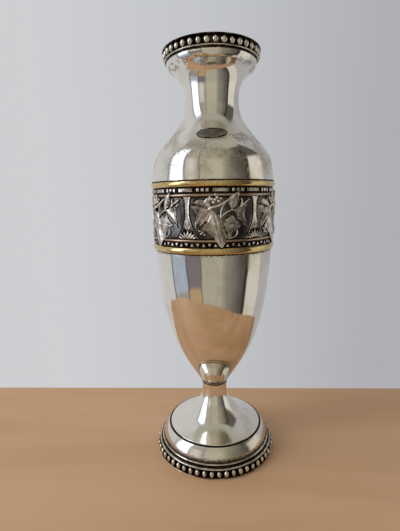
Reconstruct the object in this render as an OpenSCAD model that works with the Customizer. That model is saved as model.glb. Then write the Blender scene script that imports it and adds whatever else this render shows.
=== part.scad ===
// Silver-plated trophy vase: two spun shells, an applied ivy frieze between two
// gilt rings, a beaded lip and a trumpet foot drawn together by one tie stud.
// Millimetres, +Z up, origin at the middle of the felt under the foot.
// The shoulder plaque faces -Y.

/* [Whole vase] */
// height from the table to the top of the lip
total_h = 350; // [320:1:380]
// spun sheet thickness
sheet_t = 1.2; // [1.0:0.1:2.0]
// gap left between pieces that lie against each other
fit_gap = 0.05; // [0.02:0.01:0.1]

/* [Body] */
// radius of the body where the lower shell meets the frieze
bowl_top_r = 51; // [48:0.5:54]
// height of the sharp bottom corner of the bowl
bowl_base_z = 64.2; // [62:0.1:67]
// radius of the sharp bottom corner of the bowl
bowl_base_r = 12.2; // [11:0.1:14]
// height of the step that carries the frieze band
bowl_step_z = 190.5; // [188:0.5:193]
// widest radius of the shoulder, just above the frieze
shoulder_r = 52.6; // [50:0.1:55]
// radius of the narrowest part of the neck
throat_r = 22.6; // [20:0.1:26]
// height of the narrowest part of the neck
throat_z = 312; // [308:0.5:316]

/* [Lip] */
// number of beads round the lip
lip_bead_count = 38; // [30:1:48]
// half the height of a lip bead
lip_bead_h = 2.75; // [2:0.05:2.75]
// half the width of a lip bead
lip_bead_w = 2.2; // [1.6:0.1:2.2]
// radius of the circle the lip beads stand on
lip_bead_ring = 37.95; // [37:0.05:38.5]

/* [Frieze] */
// outside radius of the frieze band's dark ground
band_r = 51.4; // [50:0.1:53]
// height of the frieze band's top edge
band_top_z = 246.5; // [244:0.5:249]
// number of ivy panels round the band
panels = 6; // [4:1:8]
// turn of the first panel's centre away from the plaque
panel_turn = 8.35; // [0:0.05:30]
// how far the ivy stands out from the dark ground
relief = 1.9; // [1.2:0.1:2.4]

/* [Foot] */
// number of beads round the foot
foot_bead_count = 54; // [40:1:60]
// half the height of a foot bead
foot_bead_h = 2.8; // [2:0.1:2.8]
// half the width of a foot bead
foot_bead_w = 1.95; // [1.4:0.05:1.95]
// radius of the circle the foot beads stand on
foot_bead_ring = 53.9; // [53.9:0.1:55]
// radius of the trumpet's outer edge
disc_r = 42.4; // [41:0.1:42.8]

/* [Tie stud] */
// radius of the tie stud's thread
stud_r = 3; // [2:0.5:4]
// hexagon of the nuts, across the corners, halved
nut_r = 5.8; // [5:0.1:7]

/* [Hidden] */
$fn = 96;
lip_top_z = total_h;
lip_bore_r = 33.9;
lip_ground_r = 35.7;
lip_flange_r = 37.5;
lip_end_z = 341;
lip_edge_r = 39;
relief_r = band_r + 1.1;
wire_out = 1.2;
upper_wire_z = 235.5;
lower_wire_z = 201.2;
panel_step = 360 / panels;
rail_step = 5;
bar_turn = 6.6;
seat_r = bowl_top_r - 1.1;
lap_top_z = band_top_z + 5.5;
felt_t = 0.85;
channel_r = 51.9;
foot_bead_z = 3.75;
fillet_r = 49.45;
moulding_z = 11;
stem_top_z = 62.85;
washer_t = 1.2;
nut_t = 4.8;
stud_hole_r = stud_r + 0.2;
plaque_w = 12.1;
plaque_h = 5.6;
plaque_lean = 43;
plaque_turn = 3;
plaque_z = 281.2;
plaque_r = 37.5;

// ---- curves ------------------------------------------------------------

// smooth curve from a to d, leaving towards b and arriving from c
function curve(a, b, c, d, n) = [
    for (i = [0:n])
        let (t = i / n, u = 1 - t)
        u * u * u * a + 3 * u * u * t * b + 3 * u * t * t * c + t * t * t * d
];

// part of an ellipse about (r, z)
function oval(r, z, a, b, from, to, n) = [
    for (i = [0:n])
        let (t = from + (to - from) * i / n)
        [r + a * cos(t), z + b * sin(t)]
];

function tail(p) = [for (i = [1:len(p) - 1]) p[i]];

function back(p) = [for (i = [len(p) - 1:-1:0]) p[i]];

// point i of a line, moved sideways by t: to the left of its direction
function beside(p, i, t) =
    let (a = p[max(i - 1, 0)], b = p[min(i + 1, len(p) - 1)], d = (b - a) / norm(b - a))
    p[i] + t * [-d[1], d[0]];

function moved(p, t) = [for (i = [0:len(p) - 1]) beside(p, i, t)];

// closed outline of a spun sheet whose outside follows p
function sheet(p, t) = concat(p, back(moved(p, t)));

// half-round strip lying on a wall of radius r
function strip(r, z, out, half_h) = oval(r, z, out, half_h, -90, 90, 14);

// a length along the band, seen flat from straight ahead
function flat(s) = band_r * sin(s / relief_r * 180 / PI);

function bent(p) = [for (q = p) [flat(q[0]), q[1]]];

bowl_out = curve(
    [bowl_base_r, bowl_base_z], [30, 92], [45.8, 107.8], [bowl_top_r, bowl_step_z - 1], 40);

shoulder_out = concat(
    curve([shoulder_r, band_top_z + 0.1], [49.25, 265.6], [51, 266.6], [40.4, 278], 20),
    tail(curve([40.4, 278], [28.5, 290.8], [throat_r, 299.5], [throat_r, throat_z], 18)),
    tail(curve([throat_r, throat_z], [throat_r, 328.5], [28.6, 331.6], [34.4, 335.6], 18)),
    tail(curve([34.4, 335.6], [35.9, 336.63], [36.9, 338.6], [37.1, lip_end_z], 8)));

trumpet_out = concat(
    curve([disc_r - 0.6, 22.9], [34.5, 25.2], [27.8, 28.5], [24.3, 32], 14),
    tail(curve([24.3, 32], [17.6, 38.7], [11.5, 44.4], [11.45, 56.8], 18)),
    tail(curve([11.45, 56.8], [11.44, 59.2], [11.55, 61], [11.85, stem_top_z], 6)));

moulding_out = curve([44.1, 21.8], [46.6, 19.3], [49.3, 15.2], [49.8, moulding_z], 16);

// ---- body --------------------------------------------------------------

module neck_shell()
    color("silver")
    rotate_extrude()
    polygon(concat(
        sheet(shoulder_out, sheet_t),
        [[seat_r + fit_gap, band_top_z + 2], [seat_r + fit_gap, band_top_z + fit_gap]]));

module bowl_shell()
    color("silver")
    rotate_extrude()
    polygon(concat(
        [[stud_hole_r, bowl_base_z]],
        bowl_out,
        [[bowl_top_r, bowl_step_z - fit_gap], [seat_r, bowl_step_z - fit_gap]],
        [[seat_r, lap_top_z - fit_gap], [seat_r - sheet_t, lap_top_z - fit_gap]],
        [[seat_r - sheet_t, bowl_step_z - 6]],
        [for (i = [len(bowl_out) - 4:-1:2]) beside(bowl_out, i, sheet_t)],
        [[bowl_base_r - 1.6, bowl_base_z + sheet_t], [stud_hole_r, bowl_base_z + sheet_t]]));

// ---- lip ---------------------------------------------------------------

module lip_channel()
    color("dimgray")
    rotate_extrude()
    polygon(concat(
        [[lip_bore_r, lip_end_z - 1.1], [35.4, lip_end_z - 1.1], [35.4, lip_end_z + fit_gap]],
        [[36.6, lip_end_z + fit_gap], [36.6, lip_end_z + 0.95], [lip_flange_r, lip_end_z + 0.95]],
        [[lip_flange_r, lip_top_z - 6.8], [lip_ground_r, lip_top_z - 6.75]],
        [[lip_ground_r, lip_top_z - 1.05], [lip_edge_r, lip_top_z - 1.05], [lip_edge_r, lip_top_z]],
        oval(lip_bore_r + 2.1, lip_top_z - 2.4, 2.1, 2.4, 90, 180, 8)));

module bead(w, h)
    rotate_extrude()
    polygon(oval(0, 0, w, h, -90, 90, 12));

module bead_row(count, ring_r, z, w, h)
    for (i = [0:count - 1])
        rotate([0, 0, 360 * (i + 0.5) / count])
            translate([0, -ring_r, z])
            bead(w, h);

module lip_beads()
    color("silver")
    bead_row(lip_bead_count, lip_bead_ring, lip_top_z - 3.9, lip_bead_w, lip_bead_h);

module lip_top_wire()
    color("gray")
    rotate_extrude()
    polygon(strip(lip_edge_r + fit_gap, lip_top_z - 0.55, 1.05, 0.5));

module lip_lower_wire()
    color("silver")
    rotate_extrude()
    polygon(strip(lip_flange_r + fit_gap, lip_end_z + 1.58, 1.1, 0.6));

// ---- plaque ------------------------------------------------------------

// layer of the shoulder between two distances off the shell
module shoulder_layer(low, high)
    rotate_extrude()
    polygon(concat(moved(shoulder_out, -low), back(moved(shoulder_out, -high))));

module on_shoulder()
    translate([0, -plaque_r, plaque_z])
    rotate([90 - plaque_lean, 0, 0])
    rotate([0, 0, plaque_turn])
    translate([0, 0, -8])
    linear_extrude(16)
    children();

module shoulder_plaque()
    color("dimgray")
    intersection() {
        shoulder_layer(fit_gap, 0.6);
        on_shoulder() polygon(oval(0, 0, plaque_w - 1.05, plaque_h - 1.05, 0, 350, 35));
    }

module plaque_border()
    color("silver")
    intersection() {
        shoulder_layer(fit_gap, 1.1);
        on_shoulder()
            difference() {
                polygon([
                    for (i = [0:83])
                        let (t = i * 30 / 7, k = i % 2 == 0 ? 1 : 0.965)
                        [plaque_w * k * cos(t), plaque_h * k * sin(t)]
                ]);
                polygon(oval(0, 0, plaque_w - 1, plaque_h - 1, 0, 350, 35));
            }
    }

// ---- frieze ------------------------------------------------------------

// layer of the band between two distances off its dark ground
module band_layer(low, high, from_z, to_z)
    translate([0, 0, from_z])
    difference() {
        cylinder(h = to_z - from_z, r = band_r + high);
        translate([0, 0, -1])
            cylinder(h = to_z - from_z + 2, r = band_r + low);
    }

// a flat outline pushed out through the front of the band
module through_band()
    rotate([90, 0, 0])
    translate([0, 0, 30])
    linear_extrude(30)
    children();

module each_panel(turn)
    for (k = [0:panels - 1])
        rotate([0, 0, panel_turn + turn + k * panel_step])
            children();

module frieze_band()
    color("dimgray")
    translate([0, 0, bowl_step_z])
    difference() {
        cylinder(h = band_top_z - bowl_step_z, r = band_r);
        translate([0, 0, -1])
            cylinder(h = band_top_z - bowl_step_z + 2, r = seat_r + fit_gap);
    }

module upper_gilt_ring()
    color("gold")
    rotate_extrude()
    polygon(strip(band_r + fit_gap, 244, 1.8, 2.4));

module lower_gilt_ring()
    color("gold")
    rotate_extrude()
    polygon(strip(band_r + fit_gap, 193.2, 1.4, 2.5));

module upper_frieze_wire()
    color("tan")
    rotate_extrude()
    polygon(strip(band_r + fit_gap, upper_wire_z, wire_out, 1.2));

module lower_frieze_wire()
    color("tan")
    rotate_extrude()
    polygon(strip(band_r + fit_gap, lower_wire_z, wire_out, 1.1));

// long bars with three small squares between them
module upper_rail_bars()
    color("silver")
    for (k = [0:2 * panels - 1])
        rotate([0, 0, bar_turn + k * panel_step / 2]) {
            rotate([0, 0, -96.5])
                rotate_extrude(angle = 13)
                translate([band_r + fit_gap, upper_wire_z + 2.4])
                square([0.8, 2.5]);
            for (j = [-1:1])
                rotate([0, 0, 15 + j * 4])
                    rail_block([[-1.1, 0], [1.1, 0], [1.1, 2.5], [-1.1, 2.5]], upper_wire_z + 2.4);
        }

module rail_block(outline, z)
    translate([0, -band_r - fit_gap, z])
    rotate([90, 0, 0])
    linear_extrude(0.8)
    polygon(outline);

// triangles point up and down by turns; the one under each leaf tip is left out
module lower_rail_triangles()
    color("silver")
    each_panel(0)
        for (j = [-6:5])
            if (j != 0)
                rotate([0, 0, (j - 0.25) * rail_step])
                    rail_block(
                        j % 2 == 0
                            ? [[0, 0], [1.3, 2.5], [-1.3, 2.5]]
                            : [[-1.3, 0], [1.3, 0], [0, 2.5]],
                        lower_wire_z - 4.4);

// shield with a wide round-cornered top, drawn in to a narrow foot
module shield_outline()
    polygon(bent(concat(
        curve([-17.4, 202.8], [-21.6, 208], [-25.4, 216], [-25.2, 224], 10),
        tail(curve([-25.2, 224], [-25.1, 229], [-24.7, 231.5], [-23.6, 233.6], 5)),
        curve([23.6, 233.6], [24.7, 231.5], [25.1, 229], [25.2, 224], 5),
        tail(curve([25.2, 224], [25.4, 216], [21.6, 208], [17.4, 202.8], 10)))));

module panel_fields()
    color("gray")
    each_panel(0)
        intersection() {
            band_layer(fit_gap, 0.5, 200, 236);
            through_band() shield_outline();
        }

// slim post flaring a little at the top and widely at the foot
module pilaster_outline()
    polygon(bent(concat(
        curve([-9.2, 202.6], [-5, 208], [-1.3, 216], [-1.5, 224], 10),
        tail(curve([-1.5, 224], [-1.6, 229], [-1.9, 231.5], [-3.1, 234.1], 5)),
        curve([3.1, 234.1], [1.9, 231.5], [1.6, 229], [1.5, 224], 5),
        tail(curve([1.5, 224], [1.3, 216], [5, 208], [9.2, 202.6], 10)))));

module pilasters()
    color("silver")
    each_panel(panel_step / 2)
        intersection() {
            band_layer(fit_gap, 1.1, 200, 236);
            through_band() pilaster_outline();
        }

// ---- ivy ---------------------------------------------------------------

// upper left leaf, its tip hanging down and outwards
leaf_upper_left = [
    [-9, 226], [-10.2, 229.6], [-9.6, 233.6], [-14.4, 230.9], [-19.6, 231], [-24.4, 228.9],
    [-22, 224.6], [-19, 220.4], [-20.8, 215.4], [-20.6, 211], [-16.4, 213.6], [-11.4, 219.6]
];

// middle leaf, its tip crossing the lower wire
leaf_middle = [
    [-9, 224.2], [-9.4, 219.6], [-12.4, 214.6], [-16.4, 210.6], [-11.4, 208.6], [-7, 204.6],
    [-3.6, 199.6], [-1.2, 196.6], [1.6, 200.2], [1.8, 206], [0.6, 212.4], [-2.6, 221.8], [-6, 224.8]
];

leaf_lower_right = [
    [-1.6, 216.6], [2.2, 220], [6.8, 222], [9.4, 217.4], [14.2, 213.2], [10.4, 209.6],
    [6.6, 208.2], [6.2, 205], [4.4, 202.9], [1.6, 203.4], [-0.2, 210.4]
];

leaf_right = [
    [7.2, 224.6], [12.4, 226], [16, 229.6], [20.6, 231.4], [20.4, 228], [17.8, 223.6],
    [18.2, 216.6], [19.6, 210.6], [15.2, 213.8], [11.4, 218.8]
];

leaf_upper_right = [
    [6.2, 224.4], [4.4, 229.6], [5.2, 233.6], [8.2, 236], [13, 238.2], [11.4, 234.4],
    [11.8, 230.2], [9.4, 226.8]
];

// twig of width w through two points
function twig(a, b, w) =
    let (d = (b - a) / norm(b - a), n = w / 2 * [-d[1], d[0]])
    [a + n, a - n, b - n, b + n];

module sprig_outline() {
    polygon(bent(leaf_upper_left));
    polygon(bent(leaf_middle));
    polygon(bent(leaf_lower_right));
    polygon(bent(leaf_right));
    polygon(bent(leaf_upper_right));
    polygon(bent(twig([-10.4, 224.6], [-3.6, 227.6], 2.2)));
    polygon(bent(twig([-4.2, 227.3], [5.4, 232.6], 1.8)));
    polygon(bent(twig([3.6, 231.6], [-1.6, 224], 1.1)));
    polygon(bent(twig([-1.5, 224.4], [-1.8, 216], 1.1)));
    polygon(bent(twig([-2.4, 219.8], [7.6, 224.8], 1.1)));
    polygon(bent(twig([9.6, 209.8], [9.8, 206], 0.9)));
    polygon(bent(twig([9.9, 206.3], [5, 203.4], 0.9)));
}

module ivy_sprigs()
    color("silver")
    each_panel(0)
        difference() {
            intersection() {
                band_layer(0.55, relief, 194, 240);
                through_band() sprig_outline();
            }
            band_layer(0, wire_out + 2 * fit_gap, 195, lower_wire_z + 1.2);
            band_layer(0, wire_out + 2 * fit_gap, upper_wire_z - 1.3, 241);
        }

berry_spots = [
    [-8, 230.6], [-5.2, 231.4], [-2.2, 231], [-7, 233.1], [-4, 233.5], [-5.6, 229.2]
];

small_berry_spots = [[-18, 208.6], [-16.2, 206.6], [-13.8, 205.8]];

module berry_at(spot, r)
    rotate([0, 0, spot[0] / relief_r * 180 / PI])
    translate([0, -band_r - 0.55 - r, spot[1]])
    sphere(r);

module ivy_berries()
    color("silver")
    each_panel(0) {
        for (b = berry_spots)
            berry_at(b, 1.05);
        for (b = small_berry_spots)
            berry_at(b, 0.8);
    }

// ---- foot --------------------------------------------------------------

module stem_collar()
    color("silver")
    rotate_extrude()
    polygon(concat(
        [[stud_hole_r, stem_top_z + fit_gap], [11.85, stem_top_z + fit_gap]],
        [[12.05, stem_top_z + 0.3], [12.15, bowl_base_z - 0.35], [12, bowl_base_z - fit_gap]],
        [[stud_hole_r, bowl_base_z - fit_gap]]));

module foot_trumpet()
    color("silver")
    rotate_extrude()
    polygon(concat(
        [[disc_r - 2.8, 21.05], [disc_r - 1.4, 21.05], [disc_r - 1.4, 21.7]],
        oval(disc_r - 0.6, 22.3, 0.6, 0.6, -90, 60, 6),
        trumpet_out,
        [[stud_hole_r, stem_top_z], [stud_hole_r, stem_top_z - sheet_t]],
        [[10.3, stem_top_z - sheet_t]],
        [for (i = [len(trumpet_out) - 4:-1:2]) beside(trumpet_out, i, sheet_t)]));

module foot_moulding()
    color("silver")
    rotate_extrude()
    polygon(concat(
        [[37, 19.6], [37, 21], [43.3, 21], [43.6, 21.7], [43.85, 21.85]],
        moulding_out,
        [[48.3, moulding_z]],
        [for (i = [len(moulding_out) - 3:-1:2]) beside(moulding_out, i, -1.4)],
        [[43.2, 19.6]]));

module foot_fillet_wire()
    color("silver")
    rotate_extrude()
    polygon(strip(fillet_r + fit_gap, 9.85, 1.4, 0.85));

module foot_channel()
    color("dimgray")
    rotate_extrude()
    polygon([
        [47.5, felt_t + fit_gap], [channel_r, felt_t + fit_gap],
        [channel_r, 8.1], [channel_r - 0.9, 8.8], [fillet_r, 8.9],
        [fillet_r, moulding_z - fit_gap], [47.5, moulding_z - fit_gap]
    ]);

module foot_bead_wire()
    color("silver")
    rotate_extrude()
    polygon(strip(channel_r + fit_gap, 7.35, 1.6, 0.7));

module foot_beads()
    color("silver")
    bead_row(foot_bead_count, foot_bead_ring, foot_bead_z, foot_bead_w, foot_bead_h);

module foot_base_ring()
    color("silver")
    rotate_extrude()
    polygon(concat(
        [[50.1, felt_t - 0.7], [55.1, felt_t - 0.7]],
        oval(55.15, felt_t - 0.35, 0.5, 0.35, -80, 80, 8),
        [[55.1, felt_t], [50.1, felt_t]]));

// ---- inside ------------------------------------------------------------

module tie_stud()
    color("lightgray")
    translate([0, 0, 23])
    cylinder(h = 50, r = stud_r - fit_gap);

module disc_washer(z, r, t)
    translate([0, 0, z])
    difference() {
        cylinder(h = t, r = r);
        translate([0, 0, -1])
            cylinder(h = t + 2, r = stud_r + 0.1);
    }

module hex_nut(z)
    translate([0, 0, z])
    difference() {
        cylinder(h = nut_t, r = nut_r, $fn = 6);
        translate([0, 0, -1])
            cylinder(h = nut_t + 2, r = stud_r);
    }

module bowl_washer()
    color("lightgray")
    disc_washer(bowl_base_z + sheet_t + fit_gap, 9, washer_t);

module bowl_nut()
    color("lightgray")
    hex_nut(bowl_base_z + sheet_t + washer_t + 2 * fit_gap);

module foot_washer()
    color("lightgray")
    disc_washer(30.2, 22.2, washer_t);

module foot_nut()
    color("lightgray")
    hex_nut(30.2 - fit_gap - nut_t);

module base_plate()
    color("silver")
    translate([0, 0, felt_t + fit_gap])
    cylinder(h = 1, r = 47.4);

module felt_pad()
    color("darkgreen")
    cylinder(h = felt_t, r = 50);

// ---- assembly ----------------------------------------------------------

neck_shell();
bowl_shell();
lip_channel();
lip_beads();
lip_top_wire();
lip_lower_wire();
shoulder_plaque();
plaque_border();
upper_gilt_ring();
lower_gilt_ring();
frieze_band();
upper_rail_bars();
lower_rail_triangles();
upper_frieze_wire();
lower_frieze_wire();
panel_fields();
pilasters();
ivy_sprigs();
ivy_berries();
stem_collar();
foot_trumpet();
foot_moulding();
foot_fillet_wire();
foot_channel();
foot_bead_wire();
foot_beads();
foot_base_ring();
tie_stud();
bowl_washer();
bowl_nut();
foot_washer();
foot_nut();
base_plate();
felt_pad();
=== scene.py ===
# %% [markdown]
# # A silver-plated trophy vase
# The vase is two spun shells of plated brass. They meet behind a cast band of ivy leaves that is
# held between two gilded rings. A beaded ring finishes the lip, and the foot is a spun trumpet
# on a moulded ring with a second row of beads. This notebook rebuilds it piece by piece around
# the measured frame, so each piece keeps its place and its size.

# %% Load the measured frame
import math
import bpy
from mathutils import Matrix, Vector, noise


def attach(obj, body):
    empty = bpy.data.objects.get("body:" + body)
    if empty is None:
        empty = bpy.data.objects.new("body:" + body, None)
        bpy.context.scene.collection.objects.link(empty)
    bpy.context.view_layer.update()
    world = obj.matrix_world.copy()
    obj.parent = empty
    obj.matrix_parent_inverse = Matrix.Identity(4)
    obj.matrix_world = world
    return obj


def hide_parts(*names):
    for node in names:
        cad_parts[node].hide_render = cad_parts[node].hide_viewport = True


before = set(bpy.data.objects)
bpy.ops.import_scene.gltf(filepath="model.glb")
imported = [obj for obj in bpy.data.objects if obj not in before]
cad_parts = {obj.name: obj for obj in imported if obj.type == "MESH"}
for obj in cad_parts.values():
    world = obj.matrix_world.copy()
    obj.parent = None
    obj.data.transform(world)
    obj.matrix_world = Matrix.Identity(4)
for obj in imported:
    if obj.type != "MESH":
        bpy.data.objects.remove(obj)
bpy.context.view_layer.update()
MM = 0.001
print("frame pieces:", len(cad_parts))

# %% [markdown]
# ## Colour and nodes
# A colour is given as an sRGB hex code, but the renderer adds light in linear numbers, so
# one function turns one into the other. One more function adds any shader node: its sockets come
# as a dictionary of plain values, hex codes or other nodes' outputs, and its properties come as
# keywords. Two habits of a worn finish are then worth a name: a cloudy pattern of a real size,
# and a colour laid over another where such a pattern says so.

# %% Colour and node helpers
def colour(code):
    """Linear red, green, blue and alpha of an sRGB hex code."""
    parts = [int(code[i:i + 2], 16) / 255 for i in (1, 3, 5)]
    return [c / 12.92 if c <= 0.04045 else ((c + 0.055) / 1.055) ** 2.4 for c in parts] + [1.0]


def plug(mat, made, sockets):
    """Fills a node's sockets with plain values, hex codes or other nodes' outputs."""
    for key, value in sockets.items():
        if isinstance(value, bpy.types.NodeSocket):
            mat.node_tree.links.new(value, made.inputs[key])
        else:
            made.inputs[key].default_value = colour(value) if isinstance(value, str) else value


def add(mat, kind, sockets, output=0, **settings):
    """Adds one shader node and gives back one of its outputs."""
    made = mat.node_tree.nodes.new("ShaderNode" + kind)
    for key, value in settings.items():
        setattr(made, key, value)
    plug(mat, made, sockets)
    return made.outputs[output]


def new_finish(name, metallic):
    """A new material, its surface shader and the spot on the object that is being shaded."""
    mat = bpy.data.materials.new(name)
    mat.use_nodes = True
    shader = mat.node_tree.nodes["Principled BSDF"]
    shader.inputs["Metallic"].default_value = metallic
    return mat, shader, add(mat, "TexCoord", {}, "Object")


print("#808080 in linear light:", [round(v, 3) for v in colour("#808080")])

# %% Clouds and stains
def speckle(mat, where, size_mm, low, high, detail=3.0, rough=0.55, stretch=None):
    """Cloudy pattern with features about size_mm across: 0 below low and 1 above high."""
    if stretch:
        where = add(mat, "VectorMath", {0: where, 1: stretch}, operation="MULTIPLY")
    cloud = add(mat, "TexNoise", {"Vector": where, "Scale": 1 / (size_mm * MM), "Detail": detail,
                                  "Roughness": rough})
    return add(mat, "MapRange", {"Value": cloud, "From Min": low, "From Max": high},
               interpolation_type="SMOOTHSTEP")


def laid_over(mat, tone, amount, most, cover):
    """Covers a tone with another colour, by at most the given share where the amount is 1."""
    share = add(mat, "MapRange", {"Value": amount, "To Max": most})
    return add(mat, "Mix", {0: share, 6: tone, 7: cover}, 2, data_type="RGBA")


print("a 34 mm cloud repeats", round(1 / (34 * MM)), "times in a metre")

# %% [markdown]
# ## Tarnish on silver plate
# Years of air leave soft yellow-brown patches on silver, and inside them brown threads and small
# dark sulphide pits, mostly where cloths do not reach. Seams, gaps and corners are painted dark,
# partly as old polish and partly as the shade that falls in them, so the mesh carries a number
# called grime_and_shade that says where. Each of these marks is worked out once, as a number from
# 0 to 1, and the finish then uses it for colour, shine and depth.

# %% Patches, threads and pits
PATCH_MM = 17
THREAD_MM = 7
PIT_MM = 1.7
PATCHES_END_Z = 298
PATCHES_FULL_Z = 284


def tarnish(mat, where, height, from_mm, to_mm):
    """Patches between the shoulder's foot and the neck, and the marks inside them."""
    reach = add(mat, "MapRange", {"Value": height, "From Min": from_mm * MM,
                                  "From Max": to_mm * MM}, interpolation_type="SMOOTHSTEP")
    near_top = add(mat, "MapRange", {"Value": height, "From Min": PATCHES_END_Z * MM,
                                     "From Max": PATCHES_FULL_Z * MM, "To Min": 0.08})
    patches = speckle(mat, where, PATCH_MM, 0.44, 0.62)
    for limit in (reach, near_top):
        patches = add(mat, "Math", {0: patches, 1: limit}, operation="MULTIPLY")
    wander = add(mat, "TexNoise", {"Vector": where, "Scale": 1 / (THREAD_MM * MM), "Detail": 4.0,
                                   "Roughness": 0.6, "Distortion": 1.2})
    threads = add(mat, "Math", {0: wander, 1: 0.5, 2: 0.035}, operation="COMPARE")
    threads = add(mat, "Math", {0: threads, 1: speckle(mat, where, 1.6, 0.44, 0.6)},
                  operation="MULTIPLY")
    dots = speckle(mat, where, PIT_MM, 0.62, 0.72, detail=2.0)
    marks = add(mat, "Math", {0: dots, 1: threads}, operation="MAXIMUM")
    return patches, add(mat, "Math", {0: patches, 1: marks}, operation="MULTIPLY")


print("tarnish patches", PATCH_MM, "mm, threads", THREAD_MM, "mm, pits", PIT_MM, "mm")

# %% Old polish and painted shade in the seams
CRUMB_MM = 1.9


def polish_and_shade(mat, where, ragged):
    """Old polish and painted shade in seams, as the mesh gives them, the edge broken up as ragged
    says.
    """
    grime_and_shade = add(mat, "Attribute", {}, "Fac", attribute_name="grime_and_shade")
    crumbs = speckle(mat, where, CRUMB_MM, 0.3, 0.7, stretch=(1, 1, 2.2))
    uneven = add(mat, "MapRange", {"Value": crumbs, "To Min": -ragged, "To Max": 0.1})
    broken = add(mat, "Math", {0: grime_and_shade, 1: uneven}, operation="ADD")
    return add(mat, "MapRange", {"Value": broken, "From Max": 0.6},
               interpolation_type="SMOOTHSTEP")


print("crumbs of old polish", CRUMB_MM, "mm")

# %% [markdown]
# ## Polished silver plate
# Electroplated silver, buffed on a wheel: the brightest metal there is, nearly white with a
# little warmth. Spun sheet is never a perfect mirror, so a slow, shallow waviness bends the
# reflections, and the lathe leaves rings too fine to see. They are drawn 1.1 mm apart, coarser
# than real, so that they soften the shine a little. Brown blotches under the lip are a painted
# reflection of the vase's own dark ornament in the flare, and the upper shoulder is hazy, as if
# breathed on, where hands and vapour reach it most.

# %% Surface of spun sheet
WAVE_MM = 26
LATHE_MM = 1.1


def spun_surface(mat, where, pits):
    """Slow waves, lathe rings that run round the vase, and the sunken pits."""
    wave = add(mat, "TexNoise", {"Vector": where, "Scale": 1 / (WAVE_MM * MM), "Detail": 1.0})
    drawn_out = add(mat, "VectorMath", {0: where, 1: (0.04, 0.04, 1.0)}, operation="MULTIPLY")
    rings = add(mat, "TexNoise", {"Vector": drawn_out, "Scale": 1 / (LATHE_MM * MM),
                                  "Detail": 3.0})
    slow = add(mat, "Bump", {"Height": wave, "Distance": 0.35 * MM})
    fine = add(mat, "Bump", {"Height": rings, "Distance": 0.006 * MM, "Normal": slow})
    whole = add(mat, "MapRange", {"Value": pits, "To Min": 1.0, "To Max": 0.0})
    return add(mat, "Bump", {"Height": whole, "Distance": 0.03 * MM, "Normal": fine})


print("waves", WAVE_MM, "mm, lathe rings", LATHE_MM, "mm")

# %% Silver plate
LIP_REFLECTION_Z = 335.3
LIP_REFLECTION_HALF_HIGH = 2.1
BREATH_Z = ((270, 281), (298, 287))


def silver_plate(name, stained_from, stained_to, sheen, dull, ragged):
    """Stains lie above a height in mm; sheen and dull are the roughness of clean and hazy metal."""
    mat, shader, where = new_finish(name, 1.0)
    height = add(mat, "SeparateXYZ", {0: where}, "Z")
    cloud = speckle(mat, where, 34, 0.47, 0.72, detail=5.0)
    smear = speckle(mat, where, 9, 0.5, 0.8, detail=4.0, stretch=(1, 1, 0.35))
    patches, pits = tarnish(mat, where, height, stained_from, stained_to)
    # Old polish with painted shade in the seams, where the mesh's grime_and_shade says.
    dirt_and_shade = polish_and_shade(mat, where, ragged)
    # A band of brown blotches under the lip: painted reflection of the vase's own dark ornament in
    # the flare.
    under_lip = add(mat, "Math", {0: height, 1: LIP_REFLECTION_Z * MM, 2: LIP_REFLECTION_HALF_HIGH * MM},
                    operation="COMPARE")
    reflection_blots = speckle(mat, where, 5, 0.47, 0.6, detail=5.0, rough=0.7, stretch=(1, 1, 1.6))
    lip_reflection = add(mat, "Math", {0: under_lip, 1: reflection_blots}, operation="MULTIPLY")
    breath = 1.0
    for start, full in BREATH_Z:
        side = add(mat, "MapRange", {"Value": height, "From Min": start * MM,
                                     "From Max": full * MM}, interpolation_type="SMOOTHSTEP")
        breath = add(mat, "Math", {0: breath, 1: side}, operation="MULTIPLY")
    tone = "#F1ECE2"
    # 2A2018 is old polish with painted shade in the seams; #4E3A28 is the painted reflection under
    # the lip.
    for amount, most, cover in ((cloud, 0.5, "#C9B993"), (smear, 0.3, "#B9AC90"),
                                (patches, 0.26, "#8D8068"), (pits, 0.52, "#544838"),
                                (lip_reflection, 0.6, "#4E3A28"), (dirt_and_shade, 0.93, "#2A2018")):
        tone = laid_over(mat, tone, amount, most, cover)
    haze = add(mat, "MapRange", {"Value": cloud, "To Min": sheen, "To Max": dull})
    for amount, more in ((pits, 0.3), (dirt_and_shade, 0.35), (breath, 0.2)):
        haze = add(mat, "Math", {0: amount, 1: more, 2: haze}, operation="MULTIPLY_ADD")
    plug(mat, shader, {"Base Color": tone, "Roughness": haze,
                       "Normal": spun_surface(mat, where, pits)})
    return mat


plate = silver_plate("polished silver plate", 247, 256, 0.06, 0.14, 0.5)
plate_foot = silver_plate("worn silver plate of the foot", 400, 900, 0.12, 0.22, 0.18)
print("made:", plate.name, "and", plate_foot.name)

# %% [markdown]
# ## Silver relief rubbed over black oxide
# Cast ornament is dipped in liver of sulphur, which turns it black, and then the high places are
# rubbed bright again. How much is rubbed off belongs to the shape, so every ornament's mesh
# carries a number called rub, 0 deep down and 1 on the tops, and the finish reads it. The cast
# surface is a little grainy and less sharp than the spun sheet.

# %% Rubbed relief, beads and wires
PUCKER_MM = 3.2


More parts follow.
